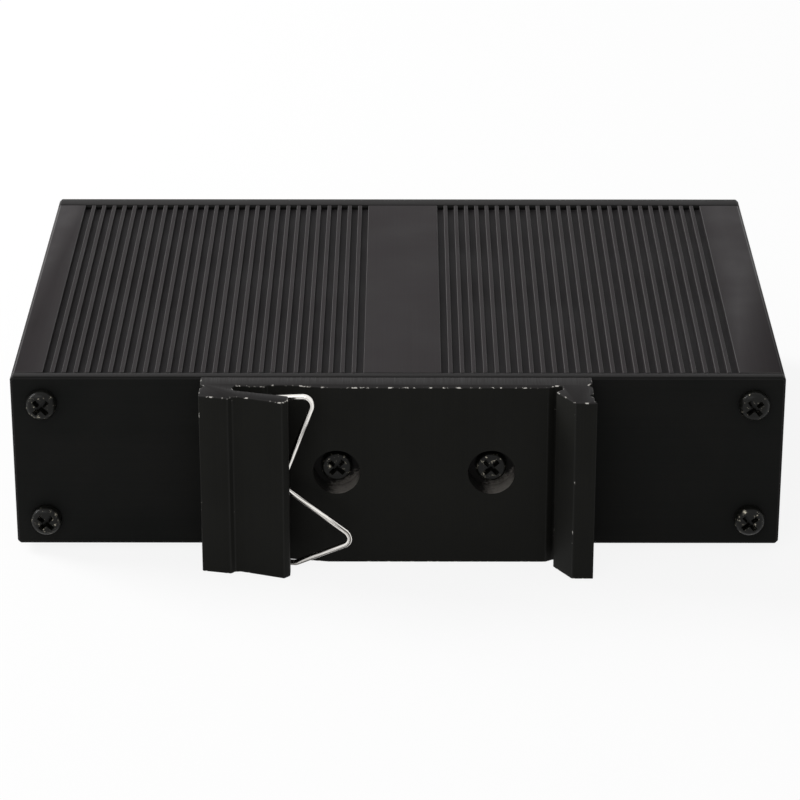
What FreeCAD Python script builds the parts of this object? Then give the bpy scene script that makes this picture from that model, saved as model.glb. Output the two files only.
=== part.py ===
import FreeCAD, Part
import math
import os
import Sketcher
from FreeCAD import Placement, Rotation, Vector

# Slim industrial Ethernet switch for 35 mm mounting rail, lying on one broad side.
# Row frame: +X to the right seen from the rail clip, +Y from the clip to the ports, +Z up.
# The pieces are drawn from the rear panel's outer face, the case's middle and its underside,
# and each is then shifted so that the origin is at the centre of the object's footprint.

os.makedirs("parts", exist_ok=True)
doc = FreeCAD.newDocument("rail_switch")
sheet = doc.addObject("Spreadsheet::Sheet", "Sizes")

SIZES = [
    # case: a finned aluminium tube between two end panels
    ("case_width", 100.0), ("case_height", 23.8), ("case_length", 62.9),
    ("wall_side", 1.8), ("wall_broad", 2.2), ("case_corner", 0.4),
    ("rear_thick", 1.6), ("front_thick", 2.9), ("panel_edge", 0.25),
    ("groove_pitch", 1.5), ("groove_width", 0.95), ("groove_depth", 0.65),
    ("margin_left", 4.1), ("margin_right", 5.95), ("strip_left", 4.4), ("strip_right", 5.55),
    ("channel_side", 4.0), ("channel_broad", 3.7), ("channel_wall_radius", 2.6),
    ("channel_bore_radius", 1.0), ("channel_slit", 1.0),
    ("rib_depth", 1.4), ("rib_thick", 1.0),
    # screws
    ("head_radius", 2.0), ("head_height", 1.6), ("head_round", 0.95),
    ("case_screw_length", 7.5), ("thread_gap", 0.04), ("screw_hole_gap", 0.2),
    ("recess_span", 2.5), ("recess_arm", 0.62), ("recess_depth", 0.95),
    ("clip_head_height", 1.3), ("clip_head_round", 0.45), ("clip_screw_length", 3.2),
    ("clip_thread_radius", 1.0),
    # rail clip: an extruded aluminium profile, cut across
    ("clip_overhang", 1.0), ("clip_left", 25.35), ("clip_right", 24.95), ("plate_thick", 3.4),
    ("clip_reach", 8.35), ("rail_width", 35.0), ("rail_seat", 21.1), ("hook_lip", 0.9),
    ("rail_gap", 1.35), ("seat_relief", 0.6), ("hook_land", 2.45), ("notch_depth", 0.55),
    ("notch_half", 0.75), ("left_notch_reach", 2.95), ("right_notch_reach", 2.6),
    ("upper_notch_reach", 5.85), ("hook_flare", 0.35),
    ("slot_end", 21.25), ("slot_end_gap", 1.6), ("slot_floor_reach", 2.7),
    ("ridge_x", 17.1), ("ridge_reach", 3.2), ("relief_reach", 2.6), ("relief_end", 9.0),
    ("jaw_mouth_reach", 6.15), ("jaw_corner_reach", 6.1), ("jaw_step_x", 21.6),
    ("jaw_step_reach", 6.95), ("jaw_step_drop", 0.55), ("jaw_nose", 0.75),
    ("clip_screw_left", 7.9), ("clip_screw_right", 12.1), ("counterbore_radius", 3.05),
    ("counterbore_floor", 0.6),
    # wire spring in the clip's slot: each corner's reach from the slot's end and its level
    ("round_sides", 12), ("wire_radius", 0.375), ("wire_lean", 11.3), ("wire_bend", 1.1),
    ("wire_middle_bend", 1.6),
    ("wire_bend_steps", 5), ("wire_seat_drop", 0.15), ("wire_end", 0.75), ("wire_top_margin", 1.45),
    ("upper_prong", 11.1), ("upper_prong_margin", 0.2), ("wire_middle", 6.3),
    ("wire_middle_level", 10.8), ("lower_prong", 16.4), ("lower_prong_level", 3.86),
    ("wire_return", 8.2), ("wire_return_drop", 0.15), ("wire_end_drop", 0.45),
    # circuit board, jack block and its shield
    ("board_level", 6.6), ("board_thick", 1.6), ("board_gap", 0.1), ("board_side_gap", 0.2),
    ("board_end_gap", 0.4),
    ("beside_ports", 30.15), ("port_count", 5), ("port_side_wall", 0.775),
    ("block_height", 13.0),
    ("block_depth", 21.3), ("block_proud", 0.3), ("block_centre_left", 6.0), ("sheet_thick", 0.25),
    ("port_width", 11.9), ("port_floor", 2.5), ("port_height", 6.9), ("port_depth", 13.5),
    ("latch_width", 6.3), ("latch_height", 1.6), ("latch_slot_width", 3.9),
    ("latch_slot_height", 0.9), ("window_gap", 0.25), ("mouth_gap", 0.03),
    ("light_width", 2.3), ("light_height", 1.5), ("light_depth", 9.0), ("light_inset", 0.25),
    # jack contacts: distances back from the block's face and heights above their floor
    ("contact_pitch", 1.02), ("contact_width", 0.4), ("contact_thick", 0.3),
    ("contact_level", 2.0), ("contact_fold", 4.0),
    ("contact_end", 10.5), ("contact_end_rise", 2.6), ("near_tails", 17.0), ("far_tails", 19.54),
    ("tail_gap", 0.1), ("tail_slot_margin", 0.8), ("trough_start", 3.0),
    ("trough_low", 1.25), ("trough_high", 2.75), ("trough_wall", 1.0),
    # power socket and the light beside it
    ("header_inset", 12.6), ("header_width", 12.0), ("header_height", 7.25),
    ("header_depth", 9.2), ("header_wall", 0.7), ("header_back", 1.6), ("header_proud", 0.2),
    ("pin_pitch", 3.81), ("pin_size", 0.8), ("pin_drop", 3.1), ("pin_front_gap", 1.4),
    ("pin_tail_gap", 1.2), ("guide_radius", 1.5), ("guide_level", 18.4), ("guide_back", 13.0),
    ("lamp_width", 1.8), ("lamp_depth", 1.2), ("lamp_height", 0.8),
    # soldered packages; an inset is measured from the case's right side, a rear from its back
    ("package_rise", 0.1), ("package_edge", 0.12), ("lead_reach", 1.1),
    ("lead_thick", 0.25), ("lead_pitch", 1.27), ("lead_width", 0.42),
    ("transformer_gap", 7.0), ("transformer_spacing", 1.77), ("transformer_depth", 6.8),
    ("transformer_height", 4.6), ("transformer_leads", 6),
    ("switch_left", 8.0), ("switch_rear", 19.0), ("switch_side", 14.0), ("switch_height", 1.4),
    ("small_chip_width", 4.9), ("small_chip_depth", 3.9), ("small_chip_height", 1.5),
    ("memory_left", 24.0), ("memory_rear", 14.0),
    ("regulator_inset", 24.0), ("regulator_gap", 4.4),
    ("sink_height", 7.5), ("sink_base", 1.6), ("sink_gap", 1.5), ("sink_pitch", 2.4),
    ("sink_gap_count", 5),
    ("capacitor_inset", 14.0), ("capacitor_near", 19.5), ("capacitor_far", 30.0),
    ("capacitor_base", 8.3), ("capacitor_base_height", 0.8), ("capacitor_radius", 4.0),
    ("capacitor_height", 9.4),
    ("choke_inset", 24.0), ("choke_gap", 1.25), ("choke_side", 7.3), ("choke_height", 4.0),
    ("choke_corner", 1.2),
    ("crystal_left", 26.0), ("crystal_rear", 22.0), ("crystal_length", 11.0),
    ("crystal_width", 4.6), ("crystal_height", 3.5), ("crystal_corner", 2.25),
    ("entry_rear", 9.0), ("fuse_inset", 14.0), ("fuse_width", 7.3), ("fuse_depth", 5.1),
    ("fuse_height", 1.4), ("surge_inset", 23.5), ("reverse_inset", 31.5), ("diode_width", 4.6),
    ("diode_depth", 3.8), ("diode_height", 2.3), ("moulding_edge", 0.3),
]
for row, (name, value) in enumerate(SIZES, start=1):
    sheet.set("A%d" % row, name)
    sheet.set("B%d" % row, str(value))
    sheet.setAlias("B%d" % row, name)
doc.recompute()


def size(name):
    return float(sheet.get(name))


def total_length():
    return size("rear_thick") + size("case_length") + size("front_thick")


# Shift from the drawing origin to the centre of the footprint of clip, case and screw heads.
SHIFT_Y = "(Sizes.clip_reach - Sizes.rear_thick - Sizes.case_length" \
          " - Sizes.front_thick - Sizes.head_height) / 2"
shift = Vector(0, (size("clip_reach") - total_length() - size("head_height")) / 2,
               size("clip_overhang"))
nodes = []


def register(piece, label):
    """Names a finished sub-part; the label is its file's name."""
    piece.Label = label
    nodes.append(piece)
    return piece


def new_body(label):
    made = doc.addObject("PartDesign::Body", label)
    made.setExpression("Placement.Base.y", SHIFT_Y)
    made.setExpression("Placement.Base.z", "Sizes.clip_overhang")
    return register(made, label)


def solid_node(label, shape):
    """A piece whose shape is made in code, from the same sizes."""
    made = doc.addObject("Part::Feature", label)
    made.Shape = shape
    made.Placement = Placement(shift, Rotation())
    return register(made, label)


def sketch_on(body, role, name, level="0"):
    """A sketch on one of the body's own origin planes, raised by level along its normal."""
    sketch = body.newObject("Sketcher::SketchObject", name)
    plane = [item for item in body.Origin.OriginFeatures if item.Role == role][0]
    sketch.AttachmentSupport = (plane, [""])
    sketch.MapMode = "FlatFace"
    sketch.setExpression("AttachmentOffset.Base.z", level)
    return sketch


def pin_point(sketch, element, corner, across, up):
    """Fixes one point of a sketch by its two distances from the origin."""
    for kind, distance in (("DistanceX", across), ("DistanceY", up)):
        index = sketch.addConstraint(Sketcher.Constraint(kind, -1, 1, element, corner, 1.0))
        sketch.setExpression("Constraints[%d]" % index, distance)


def outline(sketch, points):
    """A closed outline of straight edges through points given as expressions."""
    count = len(points)
    first = sketch.GeometryCount
    for index in range(count):
        angle = 2 * math.pi * index / count
        after = 2 * math.pi * (index + 1) / count
        sketch.addGeometry(Part.LineSegment(
            Vector(math.cos(angle), math.sin(angle), 0),
            Vector(math.cos(after), math.sin(after), 0)), False)
    for index in range(count):
        following = first + (index + 1) % count
        sketch.addConstraint(Sketcher.Constraint("Coincident", first + index, 2, following, 1))
    for index, (across, up) in enumerate(points):
        pin_point(sketch, first + index, 1, across, up)


def rectangle(sketch, left, right, low, high):
    outline(sketch, [(left, low), (right, low), (right, high), (left, high)])


def circle(sketch, across, up, radius):
    element = sketch.addGeometry(Part.Circle(Vector(0, 0, 0), Vector(0, 0, 1), 1.0), False)
    pin_point(sketch, element, 3, across, up)
    index = sketch.addConstraint(Sketcher.Constraint("Radius", element, 1.0))
    sketch.setExpression("Constraints[%d]" % index, radius)


def pad(body, sketch, name, length, reverse=False):
    made = body.newObject("PartDesign::Pad", name)
    made.Profile = sketch
    made.setExpression("Length", length)
    made.Reversed = reverse
    return made


def pocket(body, sketch, name, length, reverse=False):
    """Cuts along the sketch's normal, backwards unless reversed, and checks that it did."""
    doc.recompute()
    before = body.Shape.Volume
    made = body.newObject("PartDesign::Pocket", name)
    made.Profile = sketch
    made.setExpression("Length", length)
    made.Reversed = reverse
    doc.recompute()
    if body.Shape.Volume > before - 1e-4:
        raise ValueError("pocket %s cuts nothing" % name)
    return made


def pattern(body, feature, sketch, name, axis, step, count):
    """Repeats a feature along one axis of its sketch."""
    made = body.newObject("PartDesign::LinearPattern", name)
    made.Originals = [feature]
    made.Direction = (sketch, [axis])
    made.setExpression("Length", "(%s) * (%s - 1)" % (step, count))
    made.setExpression("Occurrences", count)
    body.Tip = made
    doc.recompute()
    return made


def edges_where(shape, test):
    return ["Edge%d" % (index + 1) for index, edge in enumerate(shape.Edges) if test(edge)]


def along(edge, axis):
    """Whether an edge is a straight line along X, Y or Z (axis 0, 1 or 2)."""
    if edge.Curve.TypeId != "Part::GeomLine":
        return False
    direction = edge.Curve.Direction
    return abs(abs(direction[axis]) - 1) < 1e-6


def chamfer(body, name, test, breadth):
    """Breaks the edges that pass the test."""
    doc.recompute()
    base = body.Tip
    names = edges_where(base.Shape, test)
    if not names:
        raise ValueError("no edges for " + name)
    made = body.newObject("PartDesign::Chamfer", name)
    made.Base = (base, names)
    made.setExpression("Size", breadth)
    doc.recompute()
    return made


def box(low, high):
    return Part.makeBox(high[0] - low[0], high[1] - low[1], high[2] - low[2], Vector(*low))


# ---- housing_extrusion: one aluminium tube with flat-bottomed grooves on both broad faces,
# four open screw channels in its corners and a pair of ribs on each side for the board.

HALF_WIDTH = "Sizes.case_width / 2"
INNER_X = "(Sizes.case_width / 2 - Sizes.wall_side)"
MIDDLE = "Sizes.case_height / 2"
TUBE_START = "-Sizes.rear_thick"
CHANNEL_X = "(Sizes.case_width / 2 - Sizes.channel_side)"
CHANNEL_Z = "(Sizes.case_height / 2 - Sizes.channel_broad)"

housing = new_body("housing_extrusion")
tube = sketch_on(housing, "XZ_Plane", "tube_outline", TUBE_START)
rectangle(tube, "-" + HALF_WIDTH, HALF_WIDTH, "0", "Sizes.case_height")
pad(housing, tube, "tube", "Sizes.case_length", reverse=True)
hollow = sketch_on(housing, "XZ_Plane", "hollow_outline", TUBE_START)
rectangle(hollow, "-" + INNER_X, INNER_X, "Sizes.wall_broad",
          "Sizes.case_height - Sizes.wall_broad")
pocket(housing, hollow, "hollow", "Sizes.case_length")

corners = [(side, level) for side in ("-", "") for level in ("-", "+")]
channels = sketch_on(housing, "XZ_Plane", "channel_outlines", TUBE_START)
bores = sketch_on(housing, "XZ_Plane", "channel_bore_outlines", TUBE_START)
slits = sketch_on(housing, "XZ_Plane", "channel_slit_outlines", TUBE_START)
for side, level in corners:
    across = side + CHANNEL_X
    up = MIDDLE + level + CHANNEL_Z
    inward = "(%s - Sizes.channel_wall_radius - Sizes.channel_slit)" % CHANNEL_X
    circle(channels, across, up, "Sizes.channel_wall_radius")
    circle(bores, across, up, "Sizes.channel_bore_radius")
    edges_x = [across, side + inward] if side == "" else [side + inward, across]
    rectangle(slits, edges_x[1], edges_x[0], up + " - Sizes.channel_slit / 2",
              up + " + Sizes.channel_slit / 2")
pad(housing, channels, "channel_walls", "Sizes.case_length", reverse=True)
pocket(housing, bores, "channel_bores", "Sizes.case_length")
pocket(housing, slits, "channel_slits", "Sizes.case_length")

ribs = sketch_on(housing, "XZ_Plane", "rib_outlines", TUBE_START)
lower_rib_top = "(Sizes.board_level - Sizes.board_gap)"
upper_rib_low = "(Sizes.board_level + Sizes.board_thick + Sizes.board_gap)"
for left, right in (("-" + INNER_X, "-%s + Sizes.rib_depth" % INNER_X),
                    (INNER_X + " - Sizes.rib_depth", INNER_X)):
    rectangle(ribs, left, right, lower_rib_top + " - Sizes.rib_thick", lower_rib_top)
    rectangle(ribs, left, right, upper_rib_low, upper_rib_low + " + Sizes.rib_thick")
pad(housing, ribs, "board_ribs", "Sizes.case_length", reverse=True)

# As many grooves as fit between a plain margin and the plain strip along the middle.
for side in ("left", "right"):
    count = ("(floor((Sizes.case_width / 2 - Sizes.margin_%s - Sizes.strip_%s"
             " - Sizes.groove_width) / Sizes.groove_pitch) + 1)" % (side, side))
    if side == "left":
        start = "-%s + Sizes.margin_left" % HALF_WIDTH
    else:
        start = ("%s - Sizes.margin_right - Sizes.groove_width"
                 " - Sizes.groove_pitch * (%s - 1)" % (HALF_WIDTH, count))
    groove = sketch_on(housing, "XZ_Plane", "groove_outline_" + side, TUBE_START)
    end = start + " + Sizes.groove_width"
    rectangle(groove, start, end, "-Sizes.groove_depth", "Sizes.groove_depth")
    rectangle(groove, start, end, "Sizes.case_height - Sizes.groove_depth",
              "Sizes.case_height + Sizes.groove_depth")
    cut = pocket(housing, groove, "groove_" + side, "Sizes.case_length")
    pattern(housing, cut, groove, "grooves_" + side, "H_Axis", "Sizes.groove_pitch", count)


def outer_corner(edge):
    """A long edge of the case, parallel to Y at its outermost width."""
    point = edge.Vertexes[0].Point
    return along(edge, 1) and abs(abs(point.x) - size("case_width") / 2) < 1e-6


chamfer(housing, "tube_corners", outer_corner, "Sizes.case_corner")


# ---- rear_panel and front_panel: flat plates that close the tube, with softened edges.
def perimeter(edge):
    """An edge around a panel's outline, in the plane of either face."""
    ends = [vertex.Point for vertex in edge.Vertexes]
    half = size("case_width") / 2
    high = size("case_height")
    flat = abs(ends[0].y - ends[-1].y) < 1e-6
    outside = [abs(abs(p.x) - half) < 1e-6 or min(abs(p.z), abs(p.z - high)) < 1e-6 for p in ends]
    return flat and all(outside)


def end_panel(label, start, thick):
    """A panel between start and start + thick along Y, with its four screw holes."""
    panel = new_body(label)
    level = "-(%s)" % start
    plate = sketch_on(panel, "XZ_Plane", label + "_outline", level)
    rectangle(plate, "-" + HALF_WIDTH, HALF_WIDTH, "0", "Sizes.case_height")
    pad(panel, plate, label + "_plate", thick, reverse=True)
    chamfer(panel, label + "_corners", outer_corner, "Sizes.case_corner")
    chamfer(panel, label + "_edges", perimeter, "Sizes.panel_edge")
    holes = sketch_on(panel, "XZ_Plane", label + "_hole_outlines", level)
    for side, height in corners:
        circle(holes, side + CHANNEL_X, MIDDLE + height + CHANNEL_Z,
               "Sizes.channel_bore_radius + Sizes.screw_hole_gap")
    pocket(panel, holes, label + "_holes", thick)
    return panel


rear = end_panel("rear_panel", "0", "Sizes.rear_thick")
taps = sketch_on(rear, "XZ_Plane", "clip_tap_outlines")
CLIP_SCREWS = ("-Sizes.clip_screw_left", "Sizes.clip_screw_right")
for across in CLIP_SCREWS:
    circle(taps, across, MIDDLE, "Sizes.clip_thread_radius")
pocket(rear, taps, "clip_taps", "Sizes.rear_thick")

FRONT_START = "Sizes.rear_thick + Sizes.case_length"
BOARD_TOP = "(Sizes.board_level + Sizes.board_thick)"
PORT_PITCH = "((Sizes.case_width - Sizes.beside_ports) / Sizes.port_count)"
BLOCK_HALF = "((Sizes.case_width - Sizes.beside_ports) / 2 + Sizes.port_side_wall)"
HEADER_X = "(Sizes.case_width / 2 - Sizes.header_inset)"
front = end_panel("front_panel", FRONT_START, "Sizes.front_thick")
windows = sketch_on(front, "XZ_Plane", "window_outlines", "-(%s)" % FRONT_START)
shell_half = BLOCK_HALF + " + Sizes.sheet_thick + Sizes.window_gap"
rectangle(windows, "-Sizes.block_centre_left - (%s)" % shell_half,
          "-Sizes.block_centre_left + " + shell_half, BOARD_TOP + " - Sizes.window_gap",
          BOARD_TOP + " + Sizes.block_height + Sizes.sheet_thick + Sizes.window_gap / 2")
rectangle(windows, HEADER_X + " - Sizes.header_width / 2 - Sizes.window_gap",
          HEADER_X + " + Sizes.header_width / 2 + Sizes.window_gap",
          BOARD_TOP + " - Sizes.window_gap", BOARD_TOP + " + Sizes.header_height + Sizes.window_gap")
circle(windows, HEADER_X, "Sizes.guide_level",
       "Sizes.guide_radius + Sizes.window_gap / 2")
pocket(front, windows, "windows", "Sizes.front_thick")


# ---- rail_clip: an aluminium profile cut to length, with a hook at one edge and a jaw whose
# deep slot carries the wire spring; two counterbored screws hold it to the rear panel.
clip = new_body("rail_clip")
profile = sketch_on(clip, "XY_Plane", "clip_profile", "-Sizes.clip_overhang")
left = "-Sizes.clip_left"
right = "Sizes.clip_right"
half_notch = "Sizes.notch_half"
hook_tip = "(Sizes.rail_seat - Sizes.hook_lip)"
hook_tip_reach = "(Sizes.plate_thick + Sizes.rail_gap)"
jaw_tip = "(Sizes.rail_seat - Sizes.rail_width)"
step_low = "(Sizes.jaw_step_reach - Sizes.jaw_step_drop)"


def reach(distance):
    """Distances from the rear panel grow towards the rail, along -Y."""
    return "-(%s)" % distance


def notch(edge, inward, middle):
    """Three points of a V-notch in an end of the profile, from the panel outwards."""
    return [(edge, reach(middle + " - " + half_notch)),
            (edge + inward + "Sizes.notch_depth", reach(middle)),
            (edge, reach(middle + " + " + half_notch))]


hook_side = [
    (right, reach("Sizes.clip_reach - Sizes.notch_half")),
    (right + " + Sizes.hook_flare", reach("Sizes.clip_reach")),
    (right + " - Sizes.hook_land", reach("Sizes.clip_reach")),
    (hook_tip + " + Sizes.hook_lip * 0.4", reach(hook_tip_reach + " + Sizes.seat_relief")),
    (hook_tip, reach(hook_tip_reach)),
    ("Sizes.rail_seat", reach("Sizes.plate_thick + Sizes.rail_gap / 3")),
    ("Sizes.rail_seat", reach("Sizes.plate_thick - Sizes.seat_relief")),
    (hook_tip, reach("Sizes.plate_thick - Sizes.seat_relief")),
    (hook_tip + " - Sizes.hook_lip", reach("Sizes.plate_thick")),
]
slot_side = [
    ("-Sizes.relief_end", reach("Sizes.plate_thick")),
    (jaw_tip, reach("Sizes.relief_reach")),
    ("-Sizes.ridge_x + Sizes.wire_radius", reach("Sizes.relief_reach")),
    ("-Sizes.ridge_x", reach("Sizes.ridge_reach")),
    ("-Sizes.slot_end + Sizes.wire_radius", reach("Sizes.slot_floor_reach")),
    ("-Sizes.slot_end", reach("Sizes.slot_floor_reach + Sizes.slot_end_gap / 2")),
    ("-Sizes.slot_end + Sizes.wire_radius", reach("Sizes.slot_floor_reach + Sizes.slot_end_gap")),
    (jaw_tip, reach("Sizes.jaw_mouth_reach")),
]
jaw_side = [
    (jaw_tip, reach("Sizes.clip_reach - Sizes.jaw_nose")),
    (jaw_tip + " - Sizes.jaw_nose", reach("Sizes.clip_reach")),
    ("-Sizes.jaw_step_x + Sizes.jaw_step_drop * 2.5", reach(step_low)),
    ("-Sizes.jaw_step_x + Sizes.jaw_step_drop", reach(step_low)),
    ("-Sizes.jaw_step_x", reach("Sizes.jaw_step_reach")),
    (left, reach("Sizes.jaw_corner_reach")),
]
outline(profile, [(left, "0")] + [(right, "0")] + notch(right, " - ", "Sizes.right_notch_reach")
        + notch(right, " - ", "Sizes.upper_notch_reach") + hook_side + slot_side + jaw_side
        + notch(left, " + ", "Sizes.left_notch_reach")[::-1])
pad(clip, profile, "clip_length", "Sizes.case_height + Sizes.clip_overhang")
seats = sketch_on(clip, "XZ_Plane", "counterbore_outlines", "Sizes.plate_thick")
shanks = sketch_on(clip, "XZ_Plane", "clip_hole_outlines")
for across in CLIP_SCREWS:
    circle(seats, across, MIDDLE, "Sizes.counterbore_radius")
    circle(shanks, across, MIDDLE, "Sizes.clip_thread_radius + Sizes.screw_hole_gap")
pocket(clip, seats, "counterbores", "Sizes.plate_thick - Sizes.counterbore_floor")
pocket(clip, shanks, "clip_holes", "Sizes.counterbore_floor", reverse=True)


# ---- rail_spring: one stainless wire bent to an M, lying in the jaw's slot. Its middle bend and
# both ends are inside the slot, and its two prongs reach out over the rail's edge.
def rounded_route(points, radii):
    """Straight runs through points in a plane, joined by tangent arcs of the given radii."""
    pieces = []
    here = points[0]
    for before, corner, after, radius in zip(points, points[1:], points[2:], radii):
        arriving = (corner - before).normalize()
        leaving = (after - corner).normalize()
        turn = arriving.getAngle(leaving)
        back = radius * math.tan(turn / 2)
        start = corner - arriving * back
        end = corner + leaving * back
        inward = (leaving - arriving).normalize()
        top = corner + inward * (radius / math.cos(turn / 2) - radius)
        pieces.append(Part.LineSegment(here, start))
        pieces.append(Part.Arc(start, top, end))
        here = end
    pieces.append(Part.LineSegment(here, points[-1]))
    return pieces


def stepped(pieces, steps):
    """The same route in straight steps only, so that the wire's bends have few facets."""
    points = [pieces[0].StartPoint]
    for piece in pieces:
        count = 2 if isinstance(piece, Part.LineSegment) else steps + 1
        points += piece.toShape().discretize(Number=count)[1:]
    return [Part.LineSegment(first, last) for first, last in zip(points, points[1:])]


case_high = size("case_height")
wire_points = [
    Vector(size("wire_end"), case_high - size("wire_top_margin"), 0),
    Vector(size("upper_prong"), case_high - size("upper_prong_margin"), 0),
    Vector(size("wire_middle"), size("wire_middle_level"), 0),
    Vector(size("lower_prong"), size("lower_prong_level"), 0),
    Vector(size("wire_return"), -size("wire_return_drop"), 0),
    Vector(size("wire_end"), -size("wire_end_drop"), 0),
]
bend = size("wire_bend")
route = doc.addObject("Sketcher::SketchObject", "spring_route")
bent = rounded_route(wire_points, [bend, size("wire_middle_bend"), bend, bend])
route.addGeometry(stepped(bent, int(size("wire_bend_steps"))), False)
section = doc.addObject("Part::RegularPolygon", "spring_section")
section.setExpression("Polygon", "Sizes.round_sides")
section.setExpression("Circumradius", "Sizes.wire_radius")
start_run = wire_points[1] - wire_points[0]
section.Placement = Placement(wire_points[0], Rotation(Vector(0, 0, 1), start_run))
spring = doc.addObject("Part::Sweep", "rail_spring")
spring.Sections = [section]
spring.Spine = (route, ["Edge%d" % (index + 1) for index in range(route.GeometryCount)])
spring.Solid = True
spring.Transition = "Right corner"
# The wire leans away from the panel, against the inner face of the jaw's lip.
lean = Rotation(Vector(0, 0, 1), -size("wire_lean")) * Rotation(Vector(1, 0, 0), 90)
seat = Vector(-size("slot_end"), -size("slot_floor_reach") - size("slot_end_gap") / 2
              - size("wire_seat_drop"), 0)
spring.Placement = Placement(seat + shift, lean)
register(spring, "rail_spring")


# ---- screws: small pan heads with a cross recess; fine threads are left plain.
def flats(unit=""):
    """The angles of the corners of a rod that is drawn with flat sides."""
    sides = int(size("round_sides"))
    return ["%g %s" % (360 * index / sides, unit) for index in range(sides)]


def screw(name, head_height, head_round, length, shank_radius):
    """One screw, head up, with the underside of its head at zero. The head is turned, and the
    shank has flats in place of its thread."""
    body = doc.addObject("PartDesign::Body", name)
    turning = sketch_on(body, "XZ_Plane", name + "_outline")
    outline(turning, [
        ("0", "0"),
        ("Sizes.head_radius", "0"), ("Sizes.head_radius", "%s - %s" % (head_height, head_round)),
        ("Sizes.head_radius - " + head_round, head_height), ("0", head_height)])
    turned = body.newObject("PartDesign::Revolution", name + "_turned")
    turned.Profile = turning
    turned.ReferenceAxis = (turning, ["V_Axis"])
    turned.Angle = 360
    shank = sketch_on(body, "XY_Plane", name + "_shank_outline")
    outline(shank, [("%s * cos(%s)" % (shank_radius, angle), "%s * sin(%s)" % (shank_radius, angle))
                    for angle in flats("deg")])
    pad(body, shank, name + "_shank", length, reverse=True)
    doc.recompute()
    span = "Sizes.recess_span / 2"
    arm = "Sizes.recess_arm / 2"
    quarter = [(span, "-" + arm), (span, arm), (arm, arm), (arm, span), ("-" + arm, span),
               ("-" + arm, arm), ("-" + span, arm), ("-" + span, "-" + arm),
               ("-" + arm, "-" + arm), ("-" + arm, "-" + span), (arm, "-" + span),
               (arm, "-" + arm)]
    cross = sketch_on(body, "XY_Plane", name + "_recess_outline", head_height)
    outline(cross, quarter)
    recess = pocket(body, cross, name + "_recess", "Sizes.recess_depth")
    recess.TaperAngle = -12
    doc.recompute()
    return body


def screw_group(label, pattern_screw, places, turn):
    """Copies of one screw, turned to their axis, kept as separate solids of one node."""
    copies = []
    cross_turn = Rotation(Vector(0, 0, 1), 45)
    for place in places:
        copy = pattern_screw.Shape.copy()
        copy.Placement = Placement(place, turn * cross_turn)
        copies.append(copy)
    return solid_node(label, Part.makeCompound(copies))


THREAD = "(Sizes.channel_bore_radius - Sizes.thread_gap)"
panel_screw = screw("panel_screw", "Sizes.head_height", "Sizes.head_round",
                    "Sizes.case_screw_length", THREAD)
clip_screw = screw("clip_screw", "Sizes.clip_head_height", "Sizes.clip_head_round",
                   "Sizes.clip_screw_length", "(Sizes.clip_thread_radius - Sizes.thread_gap)")
to_rear = Rotation(Vector(1, 0, 0), 90)
to_front = Rotation(Vector(1, 0, 0), -90)
middle_z = size("case_height") / 2
screw_x = size("case_width") / 2 - size("channel_side")
screw_z = middle_z - size("channel_broad")
places = [Vector(x * screw_x, 0, middle_z + z * screw_z)
          for x in (-1, 1) for z in (-1, 1)]
screw_group("rear_panel_screws", panel_screw, places, to_rear)
far = Vector(0, total_length(), 0)
screw_group("front_panel_screws", panel_screw, [place + far for place in places], to_front)
clip_seat = -size("counterbore_floor")
screw_group("clip_screws", clip_screw,
            [Vector(-size("clip_screw_left"), clip_seat, middle_z),
             Vector(size("clip_screw_right"), clip_seat, middle_z)], to_rear)


# ---- circuit_board: glass-fibre board that slides into the ribs of the tube.
board_low = size("board_level")
board_top = board_low + size("board_thick")
board_half = size("case_width") / 2 - size("wall_side") - size("board_side_gap")
board_back = size("rear_thick") + size("board_end_gap")
board_front = total_length() - size("front_thick") - size("board_end_gap")
face = total_length() + size("block_proud")
block_back = face - size("block_depth")
port_pitch = (size("case_width") - size("beside_ports")) / size("port_count")
first_port = -size("block_centre_left") - port_pitch * (size("port_count") - 1) / 2
port_centres = [first_port + index * port_pitch
                for index in range(int(size("port_count")))]
contact_count = 8
contact_offsets = [(index - (contact_count - 1) / 2) * size("contact_pitch")
                   for index in range(contact_count)]
header_face = total_length() + size("header_proud")
header_x = size("case_width") / 2 - size("header_inset")
pin_offsets = [(index - 1) * size("pin_pitch") for index in range(3)]
tail_rows = (face - size("near_tails"), face - size("far_tails"))
header_tail = header_face - size("header_depth") - size("pin_tail_gap")


def square_hole(x, y, half):
    return box((x - half, y - half, board_low - 1), (x + half, y + half, board_top + 1))


holes = [square_hole(header_x + offset, header_tail, size("pin_size") / 2 + size("tail_gap"))
         for offset in pin_offsets]
board = box((-board_half, board_back, board_low), (board_half, board_front, board_top))
solid_node("circuit_board", board.cut(Part.makeCompound(holes)))


# ---- port_block: one moulding with five modular-jack cavities, latch side up.
block = new_body("port_block")
FACE = "(Sizes.rear_thick + Sizes.case_length + Sizes.front_thick + Sizes.block_proud)"
FIRST_PORT = "(-Sizes.block_centre_left - %s * (Sizes.port_count - 1) / 2)" % PORT_PITCH
block_face = sketch_on(block, "XZ_Plane", "block_outline", "-" + FACE)
rectangle(block_face, "-Sizes.block_centre_left - " + BLOCK_HALF,
          "-Sizes.block_centre_left + " + BLOCK_HALF, BOARD_TOP, BOARD_TOP + " + Sizes.block_height")
pad(block, block_face, "block", "Sizes.block_depth")


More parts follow.
